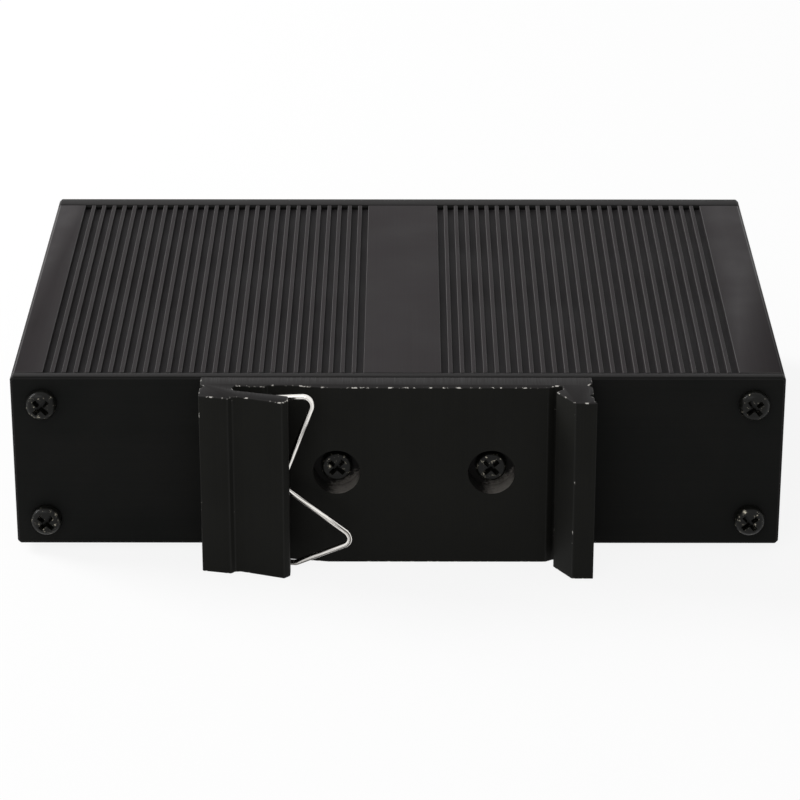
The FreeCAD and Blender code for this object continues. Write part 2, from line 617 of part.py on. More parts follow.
def port_outline(sketch, grow="0"):
    """The mouth of the first port: a wide body, the latch's step and its finger slot."""
    floor = BOARD_TOP + " + Sizes.port_floor"
    shoulder = floor + " + Sizes.port_height"
    upper = shoulder + " + Sizes.latch_height"
    crown = upper + " + Sizes.latch_slot_height"
    halves = ["(Sizes.%s / 2 + %s)" % (name, grow)
              for name in ("port_width", "latch_width", "latch_slot_width")]
    right_side = [(halves[0], floor + " - " + grow), (halves[0], shoulder + " + " + grow),
                  (halves[1], shoulder + " + " + grow), (halves[1], upper + " + " + grow),
                  (halves[2], upper + " + " + grow), (halves[2], crown + " + " + grow)]
    points = [(FIRST_PORT + " + " + across, up) for across, up in right_side]
    points += [(FIRST_PORT + " - " + across, up) for across, up in right_side[::-1]]
    outline(sketch, points)


mouth = sketch_on(block, "XZ_Plane", "port_mouth", "-" + FACE)
port_outline(mouth)
cavity = pocket(block, mouth, "port_cavity", "Sizes.port_depth", reverse=True)
pattern(block, cavity, mouth, "port_cavities", "H_Axis", PORT_PITCH, "Sizes.port_count")
CONTACT_HALF = "(Sizes.contact_pitch * %d / 2)" % contact_count
trough = sketch_on(block, "XZ_Plane", "contact_trough_outline",
                   "-%s + Sizes.trough_start" % FACE)
rectangle(trough, FIRST_PORT + " - " + CONTACT_HALF, FIRST_PORT + " + " + CONTACT_HALF,
          BOARD_TOP + " + Sizes.trough_low", BOARD_TOP + " + Sizes.trough_high")
trough_cut = pocket(block, trough, "contact_trough",
                    "Sizes.block_depth - Sizes.trough_start - Sizes.trough_wall", reverse=True)
pattern(block, trough_cut, trough, "contact_troughs", "H_Axis", PORT_PITCH,
        "Sizes.port_count")
tails = sketch_on(block, "XY_Plane", "contact_tail_outline", BOARD_TOP)
rectangle(tails, FIRST_PORT + " - " + CONTACT_HALF, FIRST_PORT + " + " + CONTACT_HALF,
          FACE + " - Sizes.far_tails - Sizes.tail_slot_margin",
          FACE + " - Sizes.near_tails + Sizes.tail_slot_margin")
tail_cut = pocket(block, tails, "contact_tails", "Sizes.trough_low", reverse=True)
pattern(block, tail_cut, tails, "contact_tail_slots", "H_Axis", PORT_PITCH,
        "Sizes.port_count")
LIGHT_LOW = "(%s + Sizes.port_floor + Sizes.port_height + Sizes.light_inset)" % BOARD_TOP
LIGHT_START = "(Sizes.latch_width / 2 + Sizes.light_inset)"
lamps = sketch_on(block, "XZ_Plane", "light_outlines", "-" + FACE)
for side in ("+", "-"):
    ends = ["%s %s %s" % (FIRST_PORT, side, LIGHT_START),
            "%s %s (%s + Sizes.light_width)" % (FIRST_PORT, side, LIGHT_START)]
    if side == "-":
        ends.reverse()
    rectangle(lamps, ends[0], ends[1], LIGHT_LOW, LIGHT_LOW + " + Sizes.light_height")
lamp_cut = pocket(block, lamps, "light_pockets", "Sizes.light_depth", reverse=True)
pattern(block, lamp_cut, lamps, "light_pocket_rows", "H_Axis", PORT_PITCH,
        "Sizes.port_count")


# ---- port_shield: a shell of thin tinned sheet folded round the block, open underneath.
shield = new_body("port_shield")
shell = sketch_on(shield, "XZ_Plane", "shield_outline", "-%s - Sizes.sheet_thick" % FACE)
rectangle(shell, "-Sizes.block_centre_left - %s - Sizes.sheet_thick" % BLOCK_HALF,
          "-Sizes.block_centre_left + %s + Sizes.sheet_thick" % BLOCK_HALF, BOARD_TOP,
          BOARD_TOP + " + Sizes.block_height + Sizes.sheet_thick")
pad(shield, shell, "shell", "Sizes.block_depth + Sizes.sheet_thick * 2")
room = sketch_on(shield, "XZ_Plane", "shield_room", "-" + FACE)
rectangle(room, "-Sizes.block_centre_left - " + BLOCK_HALF,
          "-Sizes.block_centre_left + " + BLOCK_HALF, BOARD_TOP, BOARD_TOP + " + Sizes.block_height")
pocket(shield, room, "shield_inside", "Sizes.block_depth", reverse=True)
gate = sketch_on(shield, "XZ_Plane", "shield_mouth", "-%s - Sizes.sheet_thick" % FACE)
port_outline(gate, "Sizes.mouth_gap")
for side in ("+", "-"):
    ends = ["%s %s %s" % (FIRST_PORT, side, LIGHT_START),
            "%s %s (%s + Sizes.light_width)" % (FIRST_PORT, side, LIGHT_START)]
    if side == "-":
        ends.reverse()
    rectangle(gate, ends[0], ends[1], LIGHT_LOW, LIGHT_LOW + " + Sizes.light_height")
gate_cut = pocket(shield, gate, "shield_mouths", "Sizes.sheet_thick", reverse=True)
pattern(shield, gate_cut, gate, "shield_mouth_row", "H_Axis", PORT_PITCH,
        "Sizes.port_count")


# ---- port_contacts_1 to 5: eight sprung wires a port, bent forward and folded back upwards.
def strip(points, thick, across, width):
    """A flat wire of the given width along X, bent through points given as (y, z)."""
    sides = ([], [])
    count = len(points)
    start = across - width / 2
    for index, (y, z) in enumerate(points):
        here = Vector(start, y, z)
        before = Vector(start, *points[max(index - 1, 0)])
        after = Vector(start, *points[min(index + 1, count - 1)])
        into = (here - before).normalize() if index else (after - here).normalize()
        out = (after - here).normalize() if index < count - 1 else into
        half = (into + out).normalize()
        normal = Vector(0, -half.z, half.y)
        stretch = thick / 2 / max(half.dot(into), 0.35)
        sides[0].append(here + normal * stretch)
        sides[1].append(here - normal * stretch)
    loop = sides[0] + sides[1][::-1]
    wire = Part.makePolygon(loop + [loop[0]])
    return Part.Face(wire).extrude(Vector(width, 0, 0))


contact_level = board_top + size("contact_level")
for number, centre in enumerate(port_centres, start=1):
    wires = []
    for index, offset in enumerate(contact_offsets):
        tail = tail_rows[index % 2]
        path = [(tail, board_top), (tail, contact_level),
                (face - size("contact_fold"), contact_level),
                (face - size("contact_end"), contact_level + size("contact_end_rise"))]
        wires.append(strip(path, size("contact_thick"), centre + offset,
                           size("contact_width")))
    solid_node("port_contacts_%d" % number, Part.makeCompound(wires))


# ---- link_light and activity_light: clear bars beside each latch slot that carry the light of
# the indicators to the face.
light_low = board_top + size("port_floor") + size("port_height") + size("light_inset")
light_start = size("latch_width") / 2 + size("light_inset")
for number, centre in enumerate(port_centres, start=1):
    for label, sign in (("link_light", -1), ("activity_light", 1)):
        ends = sorted((centre + sign * light_start,
                       centre + sign * (light_start + size("light_width"))))
        bar = box((ends[0], face - size("light_depth"), light_low),
                  (ends[1], face + size("sheet_thick") / 2, light_low + size("light_height")))
        solid_node("%s_%d" % (label, number), bar)


# ---- power_header and power_pin_1 to 3: an angled socket for a plug-in screw terminal.
header = new_body("power_header")
HEADER_FACE = "(Sizes.rear_thick + Sizes.case_length + Sizes.front_thick + Sizes.header_proud)"
header_end = sketch_on(header, "XZ_Plane", "header_outline", "-" + HEADER_FACE)
rectangle(header_end, HEADER_X + " - Sizes.header_width / 2",
          HEADER_X + " + Sizes.header_width / 2", BOARD_TOP,
          BOARD_TOP + " + Sizes.header_height")
pad(header, header_end, "header", "Sizes.header_depth")
socket = sketch_on(header, "XZ_Plane", "header_socket", "-" + HEADER_FACE)
rectangle(socket, HEADER_X + " - Sizes.header_width / 2 + Sizes.header_wall",
          HEADER_X + " + Sizes.header_width / 2 - Sizes.header_wall",
          BOARD_TOP + " + Sizes.header_wall", BOARD_TOP + " + Sizes.header_height - Sizes.header_wall")
pocket(header, socket, "header_cavity", "Sizes.header_depth - Sizes.header_back", reverse=True)
keys = sketch_on(header, "XZ_Plane", "header_keys", "-" + HEADER_FACE)
passages = sketch_on(header, "XZ_Plane", "header_pin_holes", "-%s + Sizes.header_depth" % HEADER_FACE)
for offset in ("- Sizes.pin_pitch", "+ 0", "+ Sizes.pin_pitch"):
    across = "%s %s" % (HEADER_X, offset)
    key_low = BOARD_TOP + " + Sizes.header_height - Sizes.header_wall"
    rectangle(keys, across + " - Sizes.pin_size", across + " + Sizes.pin_size", key_low,
              key_low + " + Sizes.header_wall / 2")
    pin_level = BOARD_TOP + " + Sizes.header_height / 2"
    hole_half = "(Sizes.pin_size / 2 + Sizes.thread_gap)"
    rectangle(passages, across + " - " + hole_half, across + " + " + hole_half,
              pin_level + " - " + hole_half, pin_level + " + " + hole_half)
pocket(header, keys, "header_key_slots", "Sizes.header_depth - Sizes.header_back", reverse=True)
pocket(header, passages, "header_pin_passages", "Sizes.header_back")

pin_level = board_top + size("header_height") / 2
for number, offset in enumerate(pin_offsets, start=1):
    path = [(header_face - size("pin_front_gap"), pin_level), (header_tail, pin_level),
            (header_tail, board_top - size("pin_drop"))]
    solid_node("power_pin_%d" % number,
               strip(path, size("pin_size"), header_x + offset, size("pin_size")))


# ---- power_light_guide and power_light: a clear rod with a mitred elbow, from a lamp on the
# board to the panel.
def block_at(x, y, width, depth, low, height):
    """A block centred on x and y."""
    return box((x - width / 2, y - depth / 2, low), (x + width / 2, y + depth / 2, low + height))


guide_y = total_length() - size("guide_back")
lamp_top = board_top + size("lamp_height")
solid_node("power_light", block_at(header_x, guide_y, size("lamp_width"), size("lamp_depth"),
                                   board_top, size("lamp_height")))
guide_path = Part.makePolygon([
    Vector(header_x, guide_y, lamp_top), Vector(header_x, guide_y, size("guide_level")),
    Vector(header_x, header_face, size("guide_level"))])
guide_corners = [Vector(header_x + size("guide_radius") * math.cos(math.radians(float(angle))),
                        guide_y + size("guide_radius") * math.sin(math.radians(float(angle))),
                        lamp_top) for angle in flats()]
guide_start = Part.makePolygon(guide_corners + guide_corners[:1])
solid_node("power_light_guide", guide_path.makePipeShell([guide_start], True, False, 1))


# ---- parts soldered on the board behind the ports: moulded packages with rows of leads
package_low = board_top + size("package_rise")


transformer_y = block_back - size("transformer_gap")
transformer_width = port_pitch - size("transformer_spacing")
lead_reach = size("transformer_depth") / 2 + size("lead_reach")
lead_count = int(size("transformer_leads"))
for number, centre in enumerate(port_centres, start=1):
    package = block_at(centre, transformer_y, transformer_width,
                       size("transformer_depth"), package_low, size("transformer_height"))
    upright = [edge for edge in package.Edges if along(edge, 2)]
    leads = []
    for index in range(lead_count):
        across = centre + (index - (lead_count - 1) / 2) * size("lead_pitch")
        leads.append(block_at(across, transformer_y, size("lead_width"), lead_reach * 2,
                              board_top, size("lead_thick")))
    body = package.makeChamfer(size("package_edge"), upright)
    solid_node("transformer_%d" % number, body.fuse(leads).removeSplitter())


def moulded(label, x, y, width, depth, height, edge):
    """A leadless package that sits on its own pads, with its upright corners cut back."""
    package = block_at(x, y, width, depth, board_top, height)
    upright = [side for side in package.Edges if along(side, 2)]
    return solid_node(label, package.makeChamfer(edge, upright))


right_side = size("case_width") / 2
switch_x = -size("switch_left")
switch_y = size("switch_rear")
switch_side = size("switch_side")
moulded("switch_chip", switch_x, switch_y, switch_side, switch_side, size("switch_height"),
        size("package_edge"))
moulded("memory_chip", -size("memory_left"), size("memory_rear"), size("small_chip_width"),
        size("small_chip_depth"), size("small_chip_height"), size("package_edge"))
choke_y = transformer_y - lead_reach - size("choke_gap") - size("choke_side") / 2
regulator_y = (choke_y - size("choke_side") / 2 - size("regulator_gap")
               - size("small_chip_depth") / 2)
moulded("regulator_chip", right_side - size("regulator_inset"), regulator_y,
        size("small_chip_width"), size("small_chip_depth"), size("small_chip_height"),
        size("package_edge"))

# A finned heat sink glued on the switch chip.
sink_low = board_top + size("switch_height")
sink = block_at(switch_x, switch_y, switch_side, switch_side, sink_low, size("sink_height"))
gap_count = int(size("sink_gap_count"))
fin_gaps = [block_at(switch_x + (index - (gap_count - 1) / 2) * size("sink_pitch"), switch_y,
                     size("sink_gap"), switch_side + 1, sink_low + size("sink_base"),
                     size("sink_height")) for index in range(gap_count)]
solid_node("chip_heat_sink", sink.cut(Part.makeCompound(fin_gaps)))

# Two electrolytic capacitors on moulded bases.
capacitor_x = right_side - size("capacitor_inset")
can_low = board_top + size("capacitor_base_height")
for number, y in enumerate((size("capacitor_far"), size("capacitor_near")), start=1):
    base = block_at(capacitor_x, y, size("capacitor_base"), size("capacitor_base"), board_top,
                    size("capacitor_base_height"))
    can = Part.makeCylinder(size("capacitor_radius"), size("capacitor_height"),
                            Vector(capacitor_x, y, can_low))
    solid_node("bulk_capacitor_%d" % number, base.fuse(can))


# The power inductor, the crystal's can, a resettable fuse and two protection diodes.
moulded("power_inductor", right_side - size("choke_inset"), choke_y,
        size("choke_side"), size("choke_side"), size("choke_height"), size("choke_corner"))
moulded("crystal", -size("crystal_left"), size("crystal_rear"), size("crystal_length"),
        size("crystal_width"), size("crystal_height"), size("crystal_corner"))
moulded("input_fuse", right_side - size("fuse_inset"), size("entry_rear"), size("fuse_width"),
        size("fuse_depth"), size("fuse_height"), size("moulding_edge"))
for label in ("surge", "reverse"):
    moulded(label + "_diode", right_side - size(label + "_inset"), size("entry_rear"),
            size("diode_width"), size("diode_depth"), size("diode_height"),
            size("moulding_edge"))


# ---- checks and export
def finish():
    doc.recompute()
    for item in doc.Objects:
        if "Invalid" in item.State or "Error" in item.State:
            raise ValueError("%s failed: %s" % (item.Label, item.State))
    for node in nodes:
        if node.Shape.isNull() or not node.Shape.isValid():
            raise ValueError("%s has no valid shape" % node.Label)
    for node in nodes:
        node.Shape.exportStep("parts/%s.step" % node.Label)
        extent = node.Shape.BoundBox
        print("%-20s solids %2d volume %9.1f  x %7.2f %7.2f  y %7.2f %7.2f  z %6.2f %6.2f" % (
            node.Label, len(node.Shape.Solids), node.Shape.Volume, extent.XMin, extent.XMax,
            extent.YMin, extent.YMax, extent.ZMin, extent.ZMax))


finish()
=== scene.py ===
import math

import bmesh
import bpy
from mathutils import Matrix, Vector


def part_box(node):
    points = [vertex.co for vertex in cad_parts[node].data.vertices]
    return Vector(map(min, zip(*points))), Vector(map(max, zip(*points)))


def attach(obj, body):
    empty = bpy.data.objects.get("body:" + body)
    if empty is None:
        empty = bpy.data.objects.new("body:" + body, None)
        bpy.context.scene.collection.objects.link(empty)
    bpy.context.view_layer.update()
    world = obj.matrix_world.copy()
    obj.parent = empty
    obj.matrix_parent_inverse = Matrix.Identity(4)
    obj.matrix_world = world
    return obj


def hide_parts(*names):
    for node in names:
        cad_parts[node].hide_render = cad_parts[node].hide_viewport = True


# A slim network switch for 35 mm mounting rail, lying on one broad side with its rail clip
# towards the viewer: a grooved aluminium tube, two end panels, a cross-cut clip profile that
# carries a wire spring, and a circuit board with network jacks inside.
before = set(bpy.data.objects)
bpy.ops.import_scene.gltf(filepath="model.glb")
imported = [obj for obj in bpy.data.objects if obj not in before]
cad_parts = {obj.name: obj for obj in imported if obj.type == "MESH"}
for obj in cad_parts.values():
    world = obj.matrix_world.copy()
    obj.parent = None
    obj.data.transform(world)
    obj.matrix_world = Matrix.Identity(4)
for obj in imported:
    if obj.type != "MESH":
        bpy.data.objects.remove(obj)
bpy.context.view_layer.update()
MM = 0.001


# ---- Studio: a white sweep, one soft lamp high on the left behind the case, a weak fill in front.
# The floor and the surroundings look white to the camera and in reflections, and stay at a
# plain level as light, so that black anodising keeps its own tone.
def srgb(code):
    """A colour written as sRGB hex, as the linear values that a shader takes."""
    parts = [int(code[index:index + 2], 16) / 255 for index in (1, 3, 5)]
    return tuple(c / 12.92 if c <= 0.04045 else ((c + 0.055) / 1.055) ** 2.4 for c in parts) + (1,)


def add(tree, kind, settings=None, links=None, **values):
    """One node: settings are its properties, links its inputs from sockets, values its inputs."""
    node = tree.nodes.new(kind)
    for name, value in (settings or {}).items():
        setattr(node, name, value)
    for name, value in values.items():
        node.inputs[name.replace("_", " ")].default_value = value
    for name, socket in (links or {}).items():
        tree.links.new(socket, node.inputs[name])
    return node


def typed(sockets, name, kind):
    """The socket of a name and a type, where a node has one for each type."""
    return next(one for one in sockets if one.name == name and one.type == kind)


def new_object(name, data):
    """An object in the scene that shows the data."""
    made = bpy.data.objects.new(name, data)
    bpy.context.collection.objects.link(made)
    return made


def new_material(name):
    """An empty material and its output node."""
    material = bpy.data.materials.new(name)
    material.use_nodes = True
    material.node_tree.nodes.clear()
    return material, material.node_tree, add(material.node_tree, "ShaderNodeOutputMaterial")


def seen_or_mirrored(tree):
    """1 for the camera, for mirror images and through clear plastic, and 0 for plain light."""
    path = add(tree, "ShaderNodeLightPath")
    seen = add(tree, "ShaderNodeMath", {"operation": "MAXIMUM"},
               {0: path.outputs["Is Camera Ray"], 1: path.outputs["Is Glossy Ray"]})
    return add(tree, "ShaderNodeMath", {"operation": "MAXIMUM"},
               {0: seen.outputs[0], 1: path.outputs["Is Transmission Ray"]}).outputs[0]


ROOM_LIGHT = 0.4
FLOOR_HALF = 6.0
FLOOR_GLOW = 0.88
world = bpy.data.worlds.new("white_surroundings")
bpy.context.scene.world = world
world.use_nodes = True
world.node_tree.nodes.clear()
plain = add(world.node_tree, "ShaderNodeBackground", Color=srgb("#ffffff"),
            Strength=ROOM_LIGHT)
white = add(world.node_tree, "ShaderNodeBackground", Color=srgb("#ffffff"), Strength=1.0)
chosen = add(world.node_tree, "ShaderNodeMixShader", None,
             {0: seen_or_mirrored(world.node_tree), 1: plain.outputs[0], 2: white.outputs[0]})
add(world.node_tree, "ShaderNodeOutputWorld", None, {"Surface": chosen.outputs[0]})

floor_mesh = bpy.data.meshes.new("floor")
floor_mesh.from_pydata([(x * FLOOR_HALF, y * FLOOR_HALF, 0) for x, y in
                        ((-1, -1), (1, -1), (1, 1), (-1, 1))], [], [(0, 1, 2, 3)])
floor = new_object("floor", floor_mesh)
floor_paint, tree, out = new_material("floor_paper")
paper = add(tree, "ShaderNodeBsdfDiffuse", Color=srgb("#f4f4f4"))
glow = add(tree, "ShaderNodeEmission", Color=srgb("#ffffff"), Strength=1.0)
glow_part = add(tree, "ShaderNodeMath", {"operation": "MULTIPLY"}, {0: seen_or_mirrored(tree)})
glow_part.inputs[1].default_value = FLOOR_GLOW
mixed = add(tree, "ShaderNodeMixShader", None,
            {0: glow_part.outputs[0], 1: paper.outputs[0], 2: glow.outputs[0]})
tree.links.new(mixed.outputs[0], out.inputs["Surface"])
floor_mesh.materials.append(floor_paint)


def softbox(name, place, aim, width, height, power):
    """A rectangular lamp at a place, turned towards a point."""
    data = bpy.data.lights.new(name, "AREA")
    data.shape = "RECTANGLE"
    data.size = width
    data.size_y = height
    data.energy = power
    lamp = new_object(name, data)
    lamp.location = place
    lamp.rotation_euler = (Vector(aim) - Vector(place)).to_track_quat("-Z", "Y").to_euler()
    return lamp


softbox("key_lamp", (-0.6, 0.26, 0.42), (0, 0, 0), 0.34, 0.34, 6.0)
softbox("fill_lamp", (-0.3, -0.6, 0.65), (0, 0, 0), 0.5, 0.4, 1.1)

CAMERA_PLACE = (1.01 * MM, -420.1 * MM, 190.2 * MM)
CAMERA_PITCH = 23.391
CAMERA_YAW = 0.107
camera_data = bpy.data.cameras.new("camera")
camera_data.lens = 148.1
camera_data.sensor_width = 36
camera_data.clip_start = 0.01
camera = new_object("camera", camera_data)
camera.location = CAMERA_PLACE
camera.rotation_euler = (math.radians(90 - CAMERA_PITCH), 0, math.radians(CAMERA_YAW))
bpy.context.scene.camera = camera
bpy.context.scene.view_settings.view_transform = "Standard"


# ---- Case: an extruded aluminium tube, grooved lengthwise on both broad faces, black anodised.
# The die leaves fine lines along the tube, and the grooves' edges are slightly broken.
def object_position(tree, scale, turn=(0, 0, 0)):
    """Object coordinates in units of the scale, which is a length in metres for each axis."""
    place = add(tree, "ShaderNodeTexCoord")
    return add(tree, "ShaderNodeMapping", None, {"Vector": place.outputs["Object"]},
               Rotation=turn, Scale=tuple(1 / length for length in scale)).outputs[0]


def noise(tree, position, detail=3.0, roughness=0.5):
    """Noise of about one feature for each unit of the position."""
    return add(tree, "ShaderNodeTexNoise", None, {"Vector": position},
               Scale=1.0, Detail=detail, Roughness=roughness).outputs["Fac"]


def ramp(tree, value, low, high, dark, light):
    """Blends two colours as a value goes from low to high."""
    made = add(tree, "ShaderNodeValToRGB", None, {"Fac": value})
    made.color_ramp.elements[0].position = low
    made.color_ramp.elements[0].color = dark
    made.color_ramp.elements[1].position = high
    made.color_ramp.elements[1].color = light
    return made.outputs["Color"]


def span(tree, value, low, high, first, last):
    """A value's range low to high, mapped to first to last."""
    return add(tree, "ShaderNodeMapRange", None, {"Value": value}, From_Min=low, From_Max=high,
               To_Min=first, To_Max=last).outputs["Result"]


def bump(tree, height, depth, strength=1.0):
    """A surface relief of the given depth in metres."""
    return add(tree, "ShaderNodeBump", None, {"Height": height}, Strength=strength,
               Distance=depth).outputs["Normal"]


def surface(tree, out, links, **values):
    """The principled shader of a finish, joined to its output."""
    shader = add(tree, "ShaderNodeBsdfPrincipled", None, links, **values)
    tree.links.new(shader.outputs[0], out.inputs["Surface"])
    return shader


def anodised(name, dark, light, line_direction, gloss=(0.42, 0.58), specular=0.3):
    """Black anodised aluminium: a dyed matt skin with faint working lines in one direction.
    Die lines and etch are finer than 0.1 mm; they are drawn about that coarse so that they show."""
    material, tree, out = new_material(name)
    line_scale = [0.12 * MM] * 3
    line_scale[line_direction] = 40 * MM
    lines = noise(tree, object_position(tree, line_scale), 4.0, 0.6)
    cloud = noise(tree, object_position(tree, [9 * MM] * 3), 2.0)
    grain = noise(tree, object_position(tree, [0.09 * MM] * 3), 2.0)
    mixed = add(tree, "ShaderNodeMath", {"operation": "MULTIPLY_ADD"}, {0: lines, 2: cloud})
    mixed.inputs[1].default_value = 0.6
    colour = ramp(tree, mixed.outputs[0], 0.5, 1.1, srgb(dark), srgb(light))
    rough = span(tree, cloud, 0.3, 0.7, gloss[0], gloss[1])
    relief = add(tree, "ShaderNodeMath", {"operation": "ADD"}, {0: lines, 1: grain})
    surface(tree, out, {"Base Color": colour, "Roughness": rough,
                        "Normal": bump(tree, relief.outputs[0], 0.006 * MM, 0.5)},
            Specular_IOR_Level=specular)
    return material


def worn_edge(name, dark, light, scale, share):
    """The broken edges of an anodised piece: mostly black, rubbed to bare metal here and there."""
    material, tree, out = new_material(name)
    patches = noise(tree, object_position(tree, [scale] * 3), 4.0, 0.65)
    worn = span(tree, patches, share, share + 0.05, 0.0, 1.0)
    colour = ramp(tree, worn, 0.0, 1.0, srgb(dark), srgb(light))
    rough = span(tree, worn, 0.0, 1.0, 0.5, 0.3)
    surface(tree, out, {"Base Color": colour, "Roughness": rough, "Metallic": worn},
            Specular_IOR_Level=0.1)
    return material


FLAT_ANGLE = math.radians(1)
SHARP_ANGLE = math.radians(30)
CREASE_ANGLE = math.radians(35)


def broken_edges(node, name, breadth, segments, finishes, chooser=None, reach=1.0):
    """A copy of a node's solid with its sharp edges rounded, as deep into it as the reach; edges
    of under three breadths stay sharp. The rounds take the second finish, and a chooser may name
    another for a face, by its centre, normal and finish so far."""
    low, high = [Vector(corner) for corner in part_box(node)]
    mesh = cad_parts[node].data.copy()
    mesh.name = name
    mesh.materials.clear()
    for finish in finishes:
        mesh.materials.append(finish)
    work = bmesh.new()
    work.from_mesh(mesh)
    bmesh.ops.remove_doubles(work, verts=work.verts, dist=1e-6)
    bmesh.ops.dissolve_limit(work, angle_limit=FLAT_ANGLE, verts=work.verts, edges=work.edges)
    edges = []
    for edge in work.edges:
        middle = (edge.verts[0].co + edge.verts[1].co) / 2
        depth = min(middle.x - low.x, high.x - middle.x, middle.z - low.z, high.z - middle.z)
        if (edge.is_manifold and edge.calc_length() > 3 * breadth and depth < reach
                and edge.calc_face_angle(0) > SHARP_ANGLE):
            edges.append(edge)
    bmesh.ops.bevel(work, geom=edges, offset=breadth, segments=segments, profile=0.5,
                    affect="EDGES", clamp_overlap=False, material=1)
    bmesh.ops.recalc_face_normals(work, faces=work.faces)
    for face in work.faces:
        face.smooth = True
        if chooser:
            face.material_index = chooser(face.calc_center_median(), face.normal,
                                          face.material_index)
    for edge in work.edges:
        edge.smooth = edge.calc_face_angle(0) < CREASE_ANGLE
    work.to_mesh(mesh)
    work.free()
    return new_object(name, mesh)


def fit(piece, slot_name, *nodes):
    """The piece belongs to the case's one body and stands for CAD nodes."""
    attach(piece, "root")
    if nodes:
        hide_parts(*nodes)
    return piece


def repaint(node, material):
    """A CAD node keeps its shape and takes a finish."""
    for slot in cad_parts[node].material_slots:
        slot.material = material


GROOVE_MARGIN = 0.2 * MM
GROOVE_REACH = 1.5 * MM
tube_low, tube_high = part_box("housing_extrusion")


def case_part(centre, normal, finish):
    """The floors of the grooves, just below the two broad faces, take the third finish."""
    depth = min(centre.z - tube_low[2], tube_high[2] - centre.z)
    inside = GROOVE_MARGIN < depth < GROOVE_REACH and abs(centre.x) < tube_high[0] - GROOVE_REACH
    return 2 if inside and abs(normal.z) > 0.5 else finish


case_skin = anodised("case_anodising", "#2a2728", "#302d2e", 1, specular=0.03)
case_edge = anodised("case_edge_anodising", "#302f2f", "#454343", 1, (0.35, 0.5), 0.12)
case_groove = anodised("case_groove_anodising", "#292728", "#312f30", 1, specular=0.02)
case = broken_edges("housing_extrusion", "finned_case", 0.07 * MM, 1,
                    (case_skin, case_edge, case_groove), case_part, GROOVE_REACH)
fit(case, "anodised_case", "housing_extrusion")


# ---- End panels: flat plates punched from aluminium sheet, their edges broken, anodised black,
# and screwed to the tube's ends. Their rims take a paler finish than their faces.
def panel_part(centre, normal, finish):
    """The rim of a panel takes a paler finish than its two faces."""
    return 1 if abs(normal.y) < 0.5 else finish


panel_skin = anodised("panel_anodising", "#151615", "#1b1b1a", 0, (0.5, 0.65), 0.04)
panel_edge = anodised("panel_edge_anodising", "#232222", "#2b2a2a", 0, (0.4, 0.55), 0.03)
for node, name in (("rear_panel", "rear_plate"), ("front_panel", "front_plate")):
    plate = broken_edges(node, name, 0.08 * MM, 2, (panel_skin, panel_edge), panel_part)
    fit(plate, "anodised_panel", node)


# ---- Rail clip: an extruded aluminium profile, saw-cut to length and anodised black, with worn
# edges. In its two counterbores a grey scuff lies low on the right: cutter chatter rings, and a
# painted highlight where light would fall on the lower wall.
clip_low, clip_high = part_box("rail_clip")
screw_low, screw_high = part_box("clip_screws")
HEAD = 2.0 * MM
CLIP_HEAD = 1.3 * MM
COUNTERBORE = 3.05 * MM
BORE_SLACK = 0.03
LEDGE_SLACK = 0.05 * MM
NICK_REACH = 0.5 * MM
bore_axes = [Vector((screw_low[0] + HEAD, 0, (screw_low[2] + screw_high[2]) / 2)),
             Vector((screw_high[0] - HEAD, 0, (screw_low[2] + screw_high[2]) / 2))]


def sawn(name, dark, light):
    """A sawn and anodised end: matt, with the blade's parallel strokes across it."""
    material, tree, out = new_material(name)
    strokes = noise(tree, object_position(tree, (0.18 * MM, 6 * MM, 6 * MM),
                                          (0, 0, math.radians(12))), 4.0, 0.6)
    colour = ramp(tree, strokes, 0.3, 0.7, srgb(dark), srgb(light))
    surface(tree, out, {"Base Color": colour,
                        "Roughness": span(tree, strokes, 0.3, 0.7, 0.4, 0.6),
                        "Normal": bump(tree, strokes, 0.02 * MM, 0.6)},
            Specular_IOR_Level=0.05)
    return material


def bore_scuff_and_painted_highlight(name, dark, light):
    """Counterbores: dark, with a grey scuff low on the right, made of cutter chatter rings and a
    painted highlight where light would fall on the lower wall.
    """
    material, tree, out = new_material(name)
    place = add(tree, "ShaderNodeTexCoord").outputs["Object"]
    parts = add(tree, "ShaderNodeSeparateXYZ", None, {"Vector": place})
    spacing = bore_axes[1].x - bore_axes[0].x
    across = add(tree, "ShaderNodeMath", {"operation": "WRAP"}, {0: parts.outputs["X"]})
    across.inputs[1].default_value = bore_axes[0].x + spacing / 2
    across.inputs[2].default_value = bore_axes[0].x - spacing / 2
    from_axis = add(tree, "ShaderNodeCombineXYZ", None,
                    {"X": across.outputs[0], "Z": parts.outputs["Z"]})
    offset = add(tree, "ShaderNodeVectorMath", {"operation": "SUBTRACT"},
                 {0: from_axis.outputs[0]})
    offset.inputs[1].default_value = bore_axes[0]
    # Painted highlight: the lower right of each bore's wall, facing up and to the left, is made
    # pale where the lamp would light it. The chatter rings break it up.
    side = add(tree, "ShaderNodeVectorMath", {"operation": "DOT_PRODUCT"}, {0: offset.outputs[0]})
    side.inputs[1].default_value = (0.5, 0, -0.87)
    rings = noise(tree, object_position(tree, (0.5 * MM, 0.12 * MM, 0.35 * MM)), 4.0, 0.7)
    highlight_side = span(tree, side.outputs["Value"], 1.2 * MM, 2.9 * MM, -0.25, 0.3)
    chatter_and_highlight = add(tree, "ShaderNodeMath", {"operation": "ADD"}, {0: rings, 1: highlight_side})
    scuff_and_highlight = span(tree, chatter_and_highlight.outputs[0], 0.5, 0.78, 0.0, 1.0)
    surface(tree, out, {"Base Color": ramp(tree, scuff_and_highlight, 0.0, 1.0, srgb(dark), srgb(light)),
                        "Normal": bump(tree, rings, 0.02 * MM, 0.6)},
            Roughness=0.55, Specular_IOR_Level=0.1)
    return material


